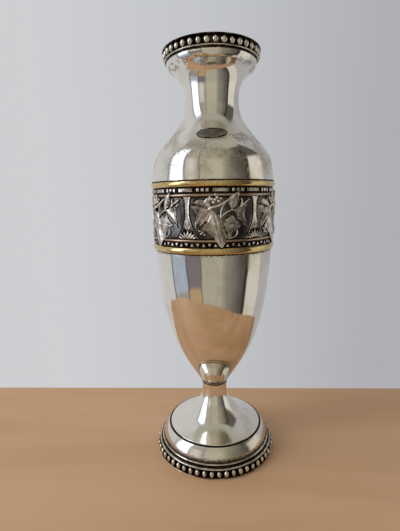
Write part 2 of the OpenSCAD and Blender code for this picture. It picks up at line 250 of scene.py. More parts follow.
def rubbed_silver(name, deep, mid, bright, gloss_low, gloss_high, grain_mm, pucker_depth):
    """Three tones from the bottom to the top; gloss is the roughness at both ends."""
    mat, shader, where = new_finish(name, 1.0)
    worn = add(mat, "Attribute", {}, "Fac", attribute_name="rub")
    for cloud, least in ((speckle(mat, where, 2.6, 0.3, 0.7, detail=4.0), -0.14),
                         (speckle(mat, where, 7, 0.42, 0.62, detail=2.0), -0.16)):
        uneven = add(mat, "MapRange", {"Value": cloud, "To Min": least, "To Max": 0.1})
        worn = add(mat, "Math", {0: worn, 1: uneven}, operation="ADD")
    worn = add(mat, "Clamp", {"Value": worn})
    low = add(mat, "MapRange", {"Value": worn, "From Min": 0.08, "From Max": 0.42})
    high = add(mat, "MapRange", {"Value": worn, "From Min": 0.42, "From Max": 0.9})
    tone = laid_over(mat, laid_over(mat, deep, low, 1.0, mid), high, 1.0, bright)
    gloss = add(mat, "MapRange", {"Value": worn, "To Min": gloss_low, "To Max": gloss_high})
    pucker = add(mat, "TexNoise", {"Vector": where, "Scale": 1 / (PUCKER_MM * MM), "Detail": 2.0})
    grain = add(mat, "TexNoise", {"Vector": where, "Scale": 1 / (grain_mm * MM), "Detail": 3.0})
    soft = add(mat, "Bump", {"Height": pucker, "Distance": pucker_depth * MM})
    rough = add(mat, "Bump", {"Height": grain, "Distance": 0.02 * MM, "Normal": soft})
    plug(mat, shader, {"Base Color": tone, "Roughness": gloss, "Normal": rough})
    return mat


relief = rubbed_silver("rubbed silver relief", "#14110E", "#A09384", "#F0E7DA",
                       0.4, 0.15, 0.5, 0.3)
bead_silver = rubbed_silver("worn bead silver", "#231B14", "#8A7C66", "#E8DFCE",
                            0.45, 0.14, 0.7, 0.16)
print("made:", relief.name, "and", bead_silver.name)

# %% [markdown]
# ## Black oxide, half-bright fields, the plaque
# The ground behind the ornament keeps its sulphide: almost black, dull and a little uneven, with
# brown where it is thin. The shield-shaped fields are the same skin wiped back by a cloth, so
# they are dark grey, satin, and lighter in streaks. The blank plaque is a dark, polished plate.

# %% Dark finishes
DULLER = 0.12
GRAIN_MM = 0.6


def dark_silver(name, deep, wiped, low, high, gloss, size_mm):
    """Deep and wiped are its two tones; low and high say how much of it is wiped."""
    mat, shader, where = new_finish(name, 1.0)
    wipe = speckle(mat, where, size_mm, low, high, detail=5.0, stretch=(1, 1, 0.45))
    grain = add(mat, "TexNoise", {"Vector": where, "Scale": 1 / (GRAIN_MM * MM), "Detail": 3.0})
    plug(mat, shader, {
        "Base Color": laid_over(mat, deep, wipe, 1.0, wiped),
        "Roughness": add(mat, "MapRange", {"Value": wipe, "To Min": gloss + DULLER,
                                           "To Max": gloss}),
        "Normal": add(mat, "Bump", {"Height": grain, "Distance": 0.03 * MM})})
    return mat


oxide = dark_silver("black oxidised silver", "#1C1611", "#4C3F32", 0.4, 0.8, 0.4, 3.0)
field = dark_silver("wiped oxidised silver", "#383431", "#7D7975", 0.32, 0.72, 0.22, 7.0)
plaque_metal = dark_silver("dark polished plaque", "#6E6965", "#A09B96", 0.3, 0.7, 0.16, 4.0)
print("made:", oxide.name + ",", field.name, "and", plaque_metal.name)

# %% [markdown]
# ## Gilding
# The two broad rings and the thin wires are gilded brass. Gold keeps its colour, so the rings
# stay yellow, but rubbing has thinned the layer: silver-grey shows through in places, and a
# brownish film lies on it in spots. The thin wires have gone pinkish.

# %% Gilt brass
FILM_ROUGHNESS = 0.2


def gilt(name, gold, thin, film, gloss):
    """Gold, the tone where it has worn thin, and the brown film that lies in spots on it."""
    mat, shader, where = new_finish(name, 1.0)
    wear = speckle(mat, where, 6, 0.52, 0.72, detail=4.0, stretch=(1, 1, 2.0))
    brown = speckle(mat, where, 2.4, 0.58, 0.78, detail=3.0)
    wave = add(mat, "TexNoise", {"Vector": where, "Scale": 1 / (9 * MM), "Detail": 2.0})
    scuff = add(mat, "TexNoise", {"Vector": where, "Scale": 1 / (0.8 * MM), "Detail": 2.0})
    slow = add(mat, "Bump", {"Height": wave, "Distance": 0.2 * MM})
    plug(mat, shader, {
        "Base Color": laid_over(mat, laid_over(mat, gold, wear, 0.6, thin), brown, 0.6, film),
        "Roughness": add(mat, "MapRange", {"Value": brown, "To Min": gloss,
                                           "To Max": gloss + FILM_ROUGHNESS}),
        "Normal": add(mat, "Bump", {"Height": scuff, "Distance": 0.01 * MM, "Normal": slow})})
    return mat


gold_ring = gilt("polished gilding", "#DAC083", "#E4D6B0", "#7D6234", 0.15)
rose_wire = gilt("worn rose gilding", "#B9A18A", "#B5A794", "#5E4233", 0.24)
print("made:", gold_ring.name, "and", rose_wire.name)

# %% [markdown]
# ## Zinc and baize
# Inside, a steel stud with nuts and washers pulls the bowl and the foot together. It is zinc
# plated: blue-grey, satin, with pale blotches. The pad under the foot is green baize, a napped
# wool cloth, so it has sheen and a fuzzy grain and no shine. Its nap is drawn 0.7 mm across,
# coarser than real wool, so that it shows.

# %% Fasteners and felt
BLOTCH_MM = 2.0
NAP_MM = 0.7
zinc, shader, where = new_finish("zinc plated steel", 1.0)
blotch = speckle(zinc, where, BLOTCH_MM, 0.35, 0.7)
plug(zinc, shader, {
    "Base Color": laid_over(zinc, "#8F949A", blotch, 1.0, "#C2C4C4"),
    "Roughness": add(zinc, "MapRange", {"Value": blotch, "To Min": 0.28, "To Max": 0.42})})

baize, shader, where = new_finish("green baize", 0.0)
nap = speckle(baize, where, NAP_MM, 0.3, 0.7, detail=4.0)
plug(baize, shader, {
    "Base Color": laid_over(baize, "#1C3F29", nap, 1.0, "#3A6B48"), "Roughness": 0.95,
    "Sheen Weight": 0.5, "Normal": add(baize, "Bump", {"Height": nap, "Distance": 0.15 * MM})})
print("made:", zinc.name, "and", baize.name)

# %% [markdown]
# ## Spinning a shape
# Nearly all of this vase was made by turning, so nearly all of it can be drawn as a half-outline
# swept round the axis. Curves are drawn with four handles, corners get a small round because a
# real edge always has one and it is what catches the light, and sheet has an inside as well as
# an outside.

# %% Curves
def curve(a, b, c, d, steps):
    """Points of a curve from a to d that b and c pull on."""
    points = []
    for i in range(steps + 1):
        t = i / steps
        u = 1 - t
        weights = (u * u * u, 3 * u * u * t, 3 * u * t * t, t * t * t)
        points.append(tuple(sum(w * p[k] for w, p in zip(weights, (a, b, c, d))) for k in (0, 1)))
    return points


def smooth_line(parts, steps):
    """One line through several curves that each start where the last one ends."""
    points = []
    for handles, count in zip(parts, steps):
        points += curve(*handles, count)[1 if points else 0:]
    return points


def oval(r, z, wide, high, start, end, steps):
    """Points of part of an oval, between two angles in degrees."""
    turn = [math.radians(start + (end - start) * i / steps) for i in range(steps + 1)]
    return [(r + wide * math.cos(t), z + high * math.sin(t)) for t in turn]


def beside(points, distance):
    """The same line moved sideways, as the inside of a sheet lies beside its outside."""
    moved = []
    for i, (r, z) in enumerate(points):
        before = points[max(i - 1, 0)]
        after = points[min(i + 1, len(points) - 1)]
        run = math.hypot(after[0] - before[0], after[1] - before[1])
        moved.append((r - distance * (after[1] - before[1]) / run,
                      z + distance * (after[0] - before[0]) / run))
    return moved


print("a curve in 4 steps:", curve((0, 0), (1, 0), (2, 1), (2, 2), 4))

# %% Rounded corners and sheet edges
def rounded(corners, radius=0.25, steps=3):
    """Closed outline with every corner turned into a small curve."""
    points = []
    count = len(corners)
    for i, corner in enumerate(corners):
        here = Vector(corner)
        legs = [Vector(corners[i - 1]) - here, Vector(corners[(i + 1) % count]) - here]
        start, end = [here + leg.normalized() * min(radius, leg.length * 0.45) for leg in legs]
        points += curve(start, here.lerp(start, 0.4), here.lerp(end, 0.4), end, steps)
    return points


def sheet(outside, thickness):
    """Closed outline of a spun sheet, with rounded ends."""
    inside = beside(outside, thickness)[::-1]
    half = thickness / 2
    ends = []
    for a, b in ((outside[-1], inside[0]), (inside[-1], outside[0])):
        middle = Vector(a).lerp(Vector(b), 0.5)
        across = Vector(a) - middle
        out = Vector((across.y, -across.x)).normalized() * half * 0.5
        ends.append([tuple(middle + across * math.cos(t) - out * math.sin(t))
                     for t in (math.radians(q) for q in (30, 60, 90, 120, 150))])
    return outside + ends[0] + inside + ends[1]


print("a rounded square has", len(rounded([(0, 0), (1, 0), (1, 1), (0, 1)])), "points")

# %% [markdown]
# ## From lists to pieces
# Every piece ends the same way: points and faces become a mesh, the mesh gets its finish, and
# the piece is told which measured part it stands for. The turned pieces share one function that
# sweeps an outline all the way round.

# %% Piece makers
def piece(name, points, faces, mat, rub=None, crease=38):
    """A mesh in its finish; crease is the angle in degrees above which an edge stays sharp."""
    mesh = bpy.data.meshes.new(name)
    mesh.from_pydata(points, [], faces)
    mesh.validate()
    if rub:
        mesh.attributes.new("rub", "FLOAT", "POINT").data.foreach_set("value", rub)
    mesh.materials.append(mat)
    mesh.shade_smooth()
    mesh.set_sharp_from_angle(angle=math.radians(crease))
    made = bpy.data.objects.new(name, mesh)
    bpy.context.scene.collection.objects.link(made)
    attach(made, "root")
    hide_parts(name)
    return made


def spun(name, outline, mat, around=192, rub_of=None, grime_and_shade_of=None):
    """Turns a closed half-outline, in millimetres; rub_of and grime_and_shade_of tell how it is at (r, z)."""
    points = []
    faces = []
    rub = []
    count = len(outline)
    for j in range(around):
        angle = 2 * math.pi * j / around
        for r, z in outline:
            points.append((r * math.sin(angle) * MM, -r * math.cos(angle) * MM, z * MM))
            rub.append(rub_of(r, z) if rub_of else 1.0)
    for j in range(around):
        here = j * count
        there = ((j + 1) % around) * count
        for i in range(count):
            k = (i + 1) % count
            faces.append((here + i, there + i, there + k, here + k))
    made = piece(name, points, faces, mat, rub)
    if grime_and_shade_of:
        marks = made.data.attributes.new("grime_and_shade", "FLOAT", "POINT")
        marks.data.foreach_set("value", [grime_and_shade_of(r, z) for r, z in outline] * around)
    print(name, "faces:", len(faces))


def belt(rings, around, first=0):
    """Faces between rings of points that lie one after another."""
    return [(a + k, a + (k + 1) % around, a + around + (k + 1) % around, a + around + k)
            for a in range(first, first + (rings - 1) * around, around) for k in range(around)]


def clamped(value):
    """The value held between 0 and 1."""
    return max(0.0, min(1.0, value))


def ramp(value, clean, dirty):
    """0 at the clean end, 1 at the dirty end."""
    return clamped((value - clean) / (dirty - clean))


print("faces between 3 rings of 8 points:", len(belt(3, 8)))

# %% [markdown]
# ## The body
# The lower shell rises from a sharp little corner at the stem, swells quickly and then runs
# almost straight up. Its top steps in to a plain cylinder that the frieze is slipped over. The
# upper shell is the shoulder, the waisted neck and the flared lip in one piece. Handles that lie
# on one line keep the reflections running smoothly through each joint of the curve.

# %% Bowl shell
SHEET = 1.2
BODY_STEPS = 256
bowl_curve = curve((12.2, 64.2), (30, 92), (45.8, 107.8), (51, 189.5), 110)
bowl_inside = beside(bowl_curve, SHEET)[-4:3:-1]
bowl_outline = (
    rounded([(3.2, 64.2), (12.2, 64.2), (12.3, 64.35)], 0.1)[:8]
    + bowl_curve[1:]
    + [(51, 190.2), (50.8, 190.45), (49.9, 190.45)]
    + [(49.9, 251.7), (49.5, 251.95), (48.9, 251.95), (48.7, 251.6), (48.7, 184.5)]
    + bowl_inside
    + [(10.8, 65.4), (3.2, 65.4)])
# grime_and_shade darkens the step under the frieze band and the corner on the stem: old polish with
# painted shade in these seams.
spun("bowl_shell", bowl_outline, plate, BODY_STEPS,
     grime_and_shade_of=lambda r, z: max(ramp(z, 189.2, 190), 1.2 * ramp(z, 66.6, 64.4)))

# %% Neck shell
SHOULDER = ((52.6, 246.6), (49.25, 265.6), (51, 266.6), (40.4, 278))
NECK = ((40.4, 278), (28.5, 290.8), (22.6, 299.5), (22.6, 312))
FLARE = ((22.6, 312), (22.6, 328.5), (28.6, 331.6), (34.4, 335.6))
LIP_EDGE = ((34.4, 335.6), (35.9, 336.63), (36.9, 338.6), (37.1, 341))
neck_curve = smooth_line((SHOULDER, NECK, FLARE, LIP_EDGE), (70, 60, 60, 20))
neck_outline = sheet(neck_curve, SHEET)[:-5] + [(49.95, 248.5), (49.95, 246.55)]
# grime_and_shade darkens the foot of the shoulder above the gilt ring and the top under the lip
# wire: painted shadow with old polish in these seams.
spun("neck_shell", neck_outline, plate, BODY_STEPS,
     grime_and_shade_of=lambda r, z: max(ramp(z, 247.3, 246.7), 1.1 * ramp(z, 340.2, 340.9)))

# %% [markdown]
# ## The lip
# The beads stand in a channel that is black with oxide, and only its top edge and the inside of
# the mouth are rubbed bright. A thin wire runs above the beads and another one below. Each bead
# is a little taller than it is wide. A cast bead is never quite like its neighbour, so each one
# gets its own small change of size and tilt, always the same ones because the random numbers
# are fixed.

# %% Lip channel and wires
def strip(r, z, out, half_high):
    """Half-oval section of a wire soldered on at radius r."""
    return oval(r, z, out, half_high, -90, 90, 18)


channel_outline = rounded([
    (33.9, 339.9), (35.4, 339.9), (35.4, 341.05), (36.6, 341.05), (36.6, 341.95), (37.5, 341.95),
    (37.5, 343.2), (35.7, 343.25), (35.7, 348.95), (39, 348.95), (39, 350), (36, 350),
    (34.6, 349.3), (33.9, 347.6)], 0.3)
spun("lip_channel", channel_outline, bead_silver,
     rub_of=lambda r, z: max(0.12, 0.75 * max(ramp(z, 349.3, 349.9), ramp(r, 35.5, 34.8))))
TOP_WIRE_Z = 349.45
LOWER_WIRE_R = 37.55
spun("lip_top_wire", strip(39.05, TOP_WIRE_Z, 1.05, 0.5), bead_silver,
     rub_of=lambda r, z: 0.2 + 0.6 * max(0.0, z - TOP_WIRE_Z - 0.05))
spun("lip_lower_wire", strip(LOWER_WIRE_R, 342.58, 1.1, 0.6), bead_silver,
     rub_of=lambda r, z: 0.3 + 0.6 * (r - LOWER_WIRE_R))

# %% Rows of beads
SIZE_SPREAD = 0.035
TILT_SPREAD = 0.05
RUB_SPREAD = 0.12


def jitter(seed, kind):
    """A fixed 'random' number between -1 and 1."""
    return noise.cell(Vector((seed * 1.37, seed * 0.71, kind * 3.1))) * 2 - 1


def bead_row(name, count, ring, z, wide, deep, high, around=24, up=16):
    """Beads on a circle at height z; wide, deep and high are half their size."""
    points = []
    faces = []
    rub = []
    for b in range(count):
        turn = 2 * math.pi * (b + 0.5) / count
        grow = 1 + SIZE_SPREAD * jitter(b, 1)
        tip = TILT_SPREAD * jitter(b, 2)
        first = len(points)
        for i in range(1, up):
            rise = math.pi * i / up
            flat = abs(math.cos(rise)) ** 1.15 * math.copysign(1, math.cos(rise))
            for k in range(around):
                swing = 2 * math.pi * k / around
                out = math.cos(swing) * math.sin(rise) * deep * grow
                side = math.sin(swing) * math.sin(rise) * wide * grow
                level = -flat * high
                r = ring + out + tip * level
                points.append(((r * math.sin(turn) + side * math.cos(turn)) * MM,
                               (-r * math.cos(turn) + side * math.sin(turn)) * MM,
                               (z + level) * MM))
                facing = 0.5 + 0.5 * math.cos(swing) * math.sin(rise)
                rub.append(clamped(2.3 * facing - 0.7 + RUB_SPREAD * jitter(b, 3)))
        for end, level in ((0, -high), (1, high)):
            r = ring + tip * level
            points.append((r * math.sin(turn) * MM, -r * math.cos(turn) * MM, (z + level) * MM))
            rub.append(0.25)
        low_tip = len(points) - 2
        faces += belt(up - 1, around, first)
        last = first + (up - 2) * around
        for k in range(around):
            n = (k + 1) % around
            faces.append((low_tip, first + n, first + k))
            faces.append((low_tip + 1, last + k, last + n))
    piece(name, points, faces, bead_silver, rub)
    print(name, "beads:", count)


bead_row("lip_beads", 38, 37.95, 346.1, 2.45, 2.2, 2.75)

# %% [markdown]
# ## The plaque on the shoulder
# A small oval plate for a name lies on the slope of the shoulder. It is left blank. To lie on the
# shell it is drawn in its own flat measures first, along the slope and around it, and then every
# point is laid on the shoulder's curve and lifted straight off it. Its border is a milled edge:
# a ring that swells and narrows many times on the way round.

# %% Lay a flat shape on the shoulder
slope = smooth_line((SHOULDER, NECK), (200, 200))
lengths = [0.0]
for lower, upper in zip(slope, slope[1:]):
    lengths.append(lengths[-1] + math.hypot(upper[0] - lower[0], upper[1] - lower[1]))
PLAQUE_Z = 281.2
PLAQUE_TURN = math.radians(3)
plaque_at = next(l for l, p in zip(lengths, slope) if p[1] > PLAQUE_Z)


def on_shoulder(across, up, lift):
    """Lays a point of the flat drawing on the shoulder and lifts it off the shell."""
    along = plaque_at + up
    i = next(n for n, l in enumerate(lengths) if l > along)
    share = (along - lengths[i - 1]) / (lengths[i] - lengths[i - 1])
    below = Vector(slope[i - 1])
    above = Vector(slope[i])
    spot = below.lerp(above, share)
    rise = (above - below).normalized()
    r = spot.x + lift * rise.y
    z = spot.y - lift * rise.x
    angle = across / spot.x
    return (r * math.sin(angle) * MM, -r * math.cos(angle) * MM, z * MM)


print("plaque laid at", round(plaque_at, 1), "mm up the shoulder")


# %% Plaque and its milled border
def oval_rings(name, rings, mat, around, closed, teeth=0):
    """Rings are (half-width, half-height, lift, rub, depth of the teeth), from the outside in.

    If closed, the last ring meets the first; if not, both are filled.
    """
    points = []
    rub = []
    for wide, high, lift, shine, bite in rings:
        for k in range(around):
            t = 2 * math.pi * k / around
            cut = 1 - bite * (0.5 + 0.5 * math.cos(teeth * t))
            across = wide * cut * math.cos(t)
            up = high * cut * math.sin(t)
            points.append(on_shoulder(
                across * math.cos(PLAQUE_TURN) - up * math.sin(PLAQUE_TURN),
                across * math.sin(PLAQUE_TURN) + up * math.cos(PLAQUE_TURN), lift))
            rub.append(shine * (1 - 6 * (1 - cut)))
    faces = belt(len(rings), around)
    last = (len(rings) - 1) * around
    if closed:
        faces += [(last + k, last + (k + 1) % around, (k + 1) % around, k) for k in range(around)]
    else:
        faces += [tuple(range(last, last + around)), tuple(reversed(range(around)))]
    piece(name, points, faces, mat, rub)
    print(name, "points:", len(points))


oval_rings("shoulder_plaque", [
    (10.95, 4.45, 0.05, 0.5, 0), (11.05, 4.55, 0.4, 0.5, 0), (10.9, 4.4, 0.52, 0.6, 0),
    (9, 3.6, 0.62, 0.6, 0), (6, 2.4, 0.7, 0.6, 0), (3, 1.2, 0.75, 0.6, 0),
    (0.8, 0.3, 0.76, 0.6, 0)],
    plaque_metal, 96, False)
oval_rings("plaque_border", [
    (11.95, 5.45, 0.05, 0.0, 0.0), (12.1, 5.6, 0.35, 0.12, 0.05), (11.9, 5.4, 0.65, 0.4, 0.055),
    (11.6, 5.1, 0.78, 0.6, 0.03), (11.3, 4.8, 0.68, 0.4, 0.0), (11.1, 4.6, 0.4, 0.0, 0.0),
    (11.1, 4.6, 0.05, 0.0, 0.0)],
    bead_silver, 252, True, teeth=42)

# %% [markdown]
# ## The gilded rings and the ground of the frieze
# The frieze band is a plain ring, black with oxide, and everything on it stands up from that
# ground. Two broad half-round rings close it off, and two thin wires divide it into an upper
# rail, the ivy panels and a lower rail.

# %% Rings of the frieze
BAND_R = 51.4
ON_BAND_R = 51.45
spun("frieze_band",
     rounded([(49.95, 190.5), (BAND_R, 190.5), (BAND_R, 246.5), (49.95, 246.5)], 0.1),
     oxide)
spun("upper_gilt_ring", strip(ON_BAND_R, 244, 1.85, 2.4), gold_ring, BODY_STEPS)
spun("lower_gilt_ring", strip(ON_BAND_R, 193.2, 1.5, 2.5), gold_ring, BODY_STEPS)
spun("upper_frieze_wire", strip(ON_BAND_R, 235.5, 1.2, 1.15), rose_wire)
spun("lower_frieze_wire", strip(ON_BAND_R, 201.2, 1.2, 1.05), rose_wire)

# %% [markdown]
# ## Working on the band
# The ornament is easiest to draw on the band unrolled: a distance along it, a height on the vase
# and how far a point stands off the ground. One function rolls such a point back on to the vase.
# A stamp collects the points and faces of many small shapes, at many turns, into one piece, and
# keeps their rub numbers.

# %% Stamps
RELIEF_R = 52.5


def roll(along, z, stand, turn):
    """Rolls a point of the flat drawing on to the vase, turned round by so many degrees."""
    angle = math.radians(turn) + along / RELIEF_R
    r = BAND_R + stand
    return (r * math.sin(angle) * MM, -r * math.cos(angle) * MM, z * MM)


class Stamp:
    """Collects many small shapes into one piece."""

    def __init__(self):
        self.points = []
        self.faces = []
        self.rub = []

    def press(self, shape, turn):
        """Adds a shape of (along, z, stand) points, turned round by so many degrees."""
        first = len(self.points)
        spots, faces, rub = shape
        self.points += [roll(*spot, turn) for spot in spots]
        self.faces += [tuple(first + i for i in face) for face in faces]
        self.rub += rub

    def made(self, name, mat, slot, crease=50):
        """Turns everything pressed so far into one piece."""
        print(name, "faces:", len(self.faces))
        piece(name, self.points, self.faces, mat, self.rub, crease)


PANELS = 6
PANEL_TURN = 8.35
panel_turns = [PANEL_TURN + 360 * k / PANELS for k in range(PANELS)]
print("panel centres at", [round(t, 1) for t in panel_turns])

# %% Small raised shapes
UNDERSIDE = 0.05


def boss(outline, low, high, inset, dome=0.0, rub_edge=0.75, rub_top=0.9):
    """A raised flat shape with a soft edge; the outline runs anticlockwise round its middle."""
    middle = Vector((sum(p[0] for p in outline), sum(p[1] for p in outline))) / len(outline)
    steps = [(0.0, low, 0.0), (0.0, low + (high - low) * 0.72, 0.35),
             (inset * 0.45, high - (high - low) * 0.08, rub_edge), (inset, high, rub_top)]
    spots = []
    rub = []
    for pull, level, shine in steps:
        for p in outline:
            leg = middle - Vector(p)
            place = Vector(p) + leg * min(pull / max(leg.length, 0.01), 0.8)
            spots.append((place.x, place.y, level))
            rub.append(shine)
    count = len(outline)
    for share in (0.5, 0.85):
        for p in outline:
            place = Vector(p).lerp(middle, share)
            spots.append((place.x, place.y, high + dome * share))
            rub.append(rub_top)
    spots.append((middle.x, middle.y, high + dome))
    rub.append(rub_top)
    tip = len(spots) - 1
    last = tip - count
    faces = [tuple(reversed(range(count)))] + belt(tip // count, count)
    faces += [(last + k, last + (k + 1) % count, tip) for k in range(count)]
    return spots, faces, rub


def rows_plate(rows, low, level_of, rub_of, across):
    """A raised plate of rows (z, left, right); level_of and rub_of tell how it is at a spot."""
    spots = []
    rub = []
    for z, left, right in rows:
        for i in range(across + 1):
            share = 0.5 - 0.5 * math.cos(math.pi * i / across)
            along = left + (right - left) * share
            near = min(along - left, right - along)
            spots.append((along, z, level_of(along, z, near)))
            rub.append(rub_of(along, z, near))
    wide = across + 1
    faces = []
    for j in range(len(rows) - 1):
        for i in range(across):
            a = j * wide + i
            faces.append((a, a + 1, a + wide + 1, a + wide))
    rim = (list(range(wide))
           + [j * wide + across for j in range(1, len(rows))]
           + [(len(rows) - 1) * wide + i for i in range(across - 1, -1, -1)]
           + [j * wide for j in range(len(rows) - 2, 0, -1)])
    first = len(spots)
    spots += [(along, z, low) for along, z, stand in spots]
    rub += [0.0] * first
    faces += [tuple(first + i for i in face[::-1]) for face in faces]
    for here, after in zip(rim, rim[1:] + rim[:1]):
        faces.append((after, here, first + here, first + after))
    return spots, faces, rub


print("faces of a square boss:", len(boss([(0, 0), (1, 0), (1, 1), (0, 1)], 0, 1, 0.2)[1]))

# %% [markdown]
# ## The rails
# The upper rail repeats one long bar and three small squares. The lower rail is a row of
# triangles that point down and up by turns, and it leaves one out where the tip of a leaf comes
# down over it. All of them are small pillow-topped blocks.

# %% Upper and lower rail
BAR_TURN = 6.6
BAR_LOW_Z = 237.95
BAR_TOP_Z = 240.45
BAR_X = [-5.9 + 1.18 * i for i in range(11)]
SQUARE_STEP = 4
long_bar = [(x, BAR_LOW_Z) for x in BAR_X] + [(x, BAR_TOP_Z) for x in BAR_X[::-1]]
square = [(-1.1, BAR_LOW_Z), (1.1, BAR_LOW_Z), (1.1, BAR_TOP_Z), (-1.1, BAR_TOP_Z)]
upper_rail = Stamp()
for k in range(2 * PANELS):
    turn = BAR_TURN + 180 * k / PANELS
    upper_rail.press(boss(long_bar, UNDERSIDE, 0.85, 0.3, 0.0, 0.6, 0.6), turn)
    for j in (-1, 0, 1):
        upper_rail.press(boss(square, UNDERSIDE, 0.85, 0.4, 0.05), turn + 15 + SQUARE_STEP * j)
upper_rail.made("upper_rail_bars", relief, "relief_silver", 30)

RAIL_STEP = 5
RAIL_LOW_Z = 196.8
RAIL_TOP_Z = 199.3
pointing_down = [(0, RAIL_LOW_Z), (1.35, RAIL_TOP_Z), (-1.35, RAIL_TOP_Z)]
pointing_up = [(-1.35, RAIL_LOW_Z), (1.35, RAIL_LOW_Z), (0, RAIL_TOP_Z)]
lower_rail = Stamp()
for turn in panel_turns:
    for j in [n for n in range(-6, 6) if n != 0]:
        triangle = pointing_down if j % 2 == 0 else pointing_up
        lower_rail.press(boss(triangle, UNDERSIDE, 0.9, 0.4, 0.1), turn + (j - 0.25) * RAIL_STEP)
lower_rail.made("lower_rail_triangles", relief, "relief_silver", 30)

# %% [markdown]
# ## Shields and pilasters
# Each ivy sprig lies on a shield, wide at the top and drawn in at the foot, a little cushioned.
# Between two shields stands a slim pilaster that flares widely at the bottom. Its upper part is
# plain with a raised edge; the lower part carries a bud between two small leaves, over a fan of
# petals.

# %% Shield fields
SHIELD_FOOT_Z = 202.8
SHIELD_SIDE_Z = 233.2
SHIELD_TOP_Z = 233.7
CROWN_FROM_Z = 232.2


def side_of(z, handles):
    """Half-width at height z of a side drawn with two curves."""
    for part in handles:
        for low, high in zip(part, part[1:]):
            if low[1] <= z <= high[1]:
                share = (z - low[1]) / max(high[1] - low[1], 1e-6)
                return low[0] + (high[0] - low[0]) * share
    return handles[-1][-1][0] if z > handles[-1][-1][1] else handles[0][0][0]


shield_side = [curve((17.4, SHIELD_FOOT_Z), (21.6, 208), (25.4, 216), (25.2, 224), 24),
               curve((25.2, 224), (25.1, 229), (24.7, 231.5), (23.6, SHIELD_SIDE_Z), 12)]
shield_rows = []
for i in range(49):
    share = 0.5 - 0.5 * math.cos(math.pi * i / 48)
    z = SHIELD_FOOT_Z + (SHIELD_TOP_Z - SHIELD_FOOT_Z) * share
    crown = max(0.0, z - CROWN_FROM_Z)
    half = side_of(min(z, SHIELD_SIDE_Z), shield_side) - 0.75 * crown ** 2
    shield_rows.append((z, -half, half))


def shield_level(along, z, near):
    """A shield is cushioned: it rises quickly at its edge and dips a little in the middle."""
    edge = max(0.0, min(near, z - SHIELD_FOOT_Z, SHIELD_TOP_Z - z))
    return 0.28 + 0.26 * min(1.0, edge / 0.5) ** 0.5 + 0.12 * math.exp(-(edge / 3.0) ** 2)


fields = Stamp()
for turn in panel_turns:
    fields.press(rows_plate(shield_rows, UNDERSIDE, shield_level, lambda a, z, n: 0.5, 34), turn)
fields.made("panel_fields", field, "field_silver")

# %% Pilasters
PILASTER_FOOT_Z = 202.6
PILASTER_TOP_Z = 234.1
SUNK_BELOW_Z = 216
pilaster_side = [curve((9.2, PILASTER_FOOT_Z), (5, 208), (1.4, 216), (1.55, 224), 24),
                 curve((1.55, 224), (1.65, 229), (1.95, 231.5), (3.2, PILASTER_TOP_Z), 12)]
pilaster_rows = []
for i in range(61):
    z = PILASTER_FOOT_Z + (PILASTER_TOP_Z - PILASTER_FOOT_Z) * i / 60
    half = side_of(z, pilaster_side)
    pilaster_rows.append((z, -half, half))


def pilaster_level(along, z, near):
    """A raised edge all round, and a sunk field below for the petals."""
    lip = 0.16 * math.exp(-((near - 0.35) / 0.28) ** 2)
    sunk = 0.32 * clamped((SUNK_BELOW_Z - z) / 4) * min(1.0, near / 0.9)
    return 0.6 + 0.4 * min(1.0, max(0.0, near) / 0.35) ** 0.5 + lip - sunk


def pilaster_rub(along, z, near):
    """Bright on the plain upper part and dark in the sunk field."""
    sunk = clamped((SUNK_BELOW_Z - z) / 4) * min(1.0, near / 1.1)
    return 0.92 - 0.78 * sunk


print("rows of a pilaster:", len(pilaster_rows))


# %% Petals and buds
def petal(root, tip, wide, steps=10):
    """Outline of a pointed petal from its root to its tip."""
    root = Vector(root)
    tip = Vector(tip)
    side = Vector((tip.y - root.y, root.x - tip.x)).normalized() * wide / 2
    swell = [math.sin(math.pi * (i / steps) ** 0.8) ** 0.8 for i in range(steps + 1)]
    right = [root.lerp(tip, i / steps) + side * swell[i] for i in range(steps + 1)]
    left = [root.lerp(tip, i / steps) - side * swell[i] for i in range(steps - 1, 0, -1)]
    return [tuple(p) for p in right + left]


fan = [((0, 203.1), (0, 209.4), 2.3), ((-0.9, 203), (-3.3, 208.1), 2.0),
       ((0.9, 203), (3.3, 208.1), 2.0), ((-2.2, 203), (-5.8, 206.4), 1.8),
       ((2.2, 203), (5.8, 206.4), 1.8), ((-3.9, 203), (-7.9, 204.3), 1.3),
       ((3.9, 203), (7.9, 204.3), 1.3), ((0, 209.9), (0, 217.6), 1.7),
       ((-0.6, 209.6), (-2.5, 213.4), 1.3), ((0.6, 209.6), (2.5, 213.4), 1.3)]
pilasters = Stamp()
for turn in panel_turns:
    between_panels = turn + 180 / PANELS
    pilasters.press(
        rows_plate(pilaster_rows, UNDERSIDE, pilaster_level, pilaster_rub, 16), between_panels)
    for root, tip, wide in fan:
        pilasters.press(boss(petal(root, tip, wide), 0.5, 1.15, wide * 0.3, 0.25), between_panels)
pilasters.made("pilasters", relief, "relief_silver")

# %% [markdown]
# ## The ivy
# An ivy leaf is five-lobed, with a sharp tip on every lobe and veins that run from the stalk to
# the tips. In a casting it is never flat: it is folded along its middle vein, its lobes puff up
# between the veins, and its edge curls up so that it catches the light. Each leaf is drawn as
# its outline, and its surface is worked out from three things: how far a spot is from the fold,
# how far from the nearest vein and how far from the edge.

# %% Leaf surface
def gap_to_line(p, a, b):
    """Distance of a point from the stretch between a and b."""
    run = b - a
    share = max(0.0, min(1.0, (p - a).dot(run) / run.length_squared))
    return (p - a - run * share).length


def bulged(corners, bulge):
    """Closed outline whose sides swell outwards between sharp corners."""
    points = []
    count = len(corners)
    for i in range(count):
        a = Vector(corners[i])
        b = Vector(corners[(i + 1) % count])
        out = Vector((b.y - a.y, a.x - b.x)) * bulge
        for k in range(12):
            t = k / 12
            points.append(a.lerp(b, t) + out * 4 * t * (1 - t))
    return points


LEAF_LOWEST = 0.75
LEAF_HIGHEST = 2.5
RIM_DROP = 0.149


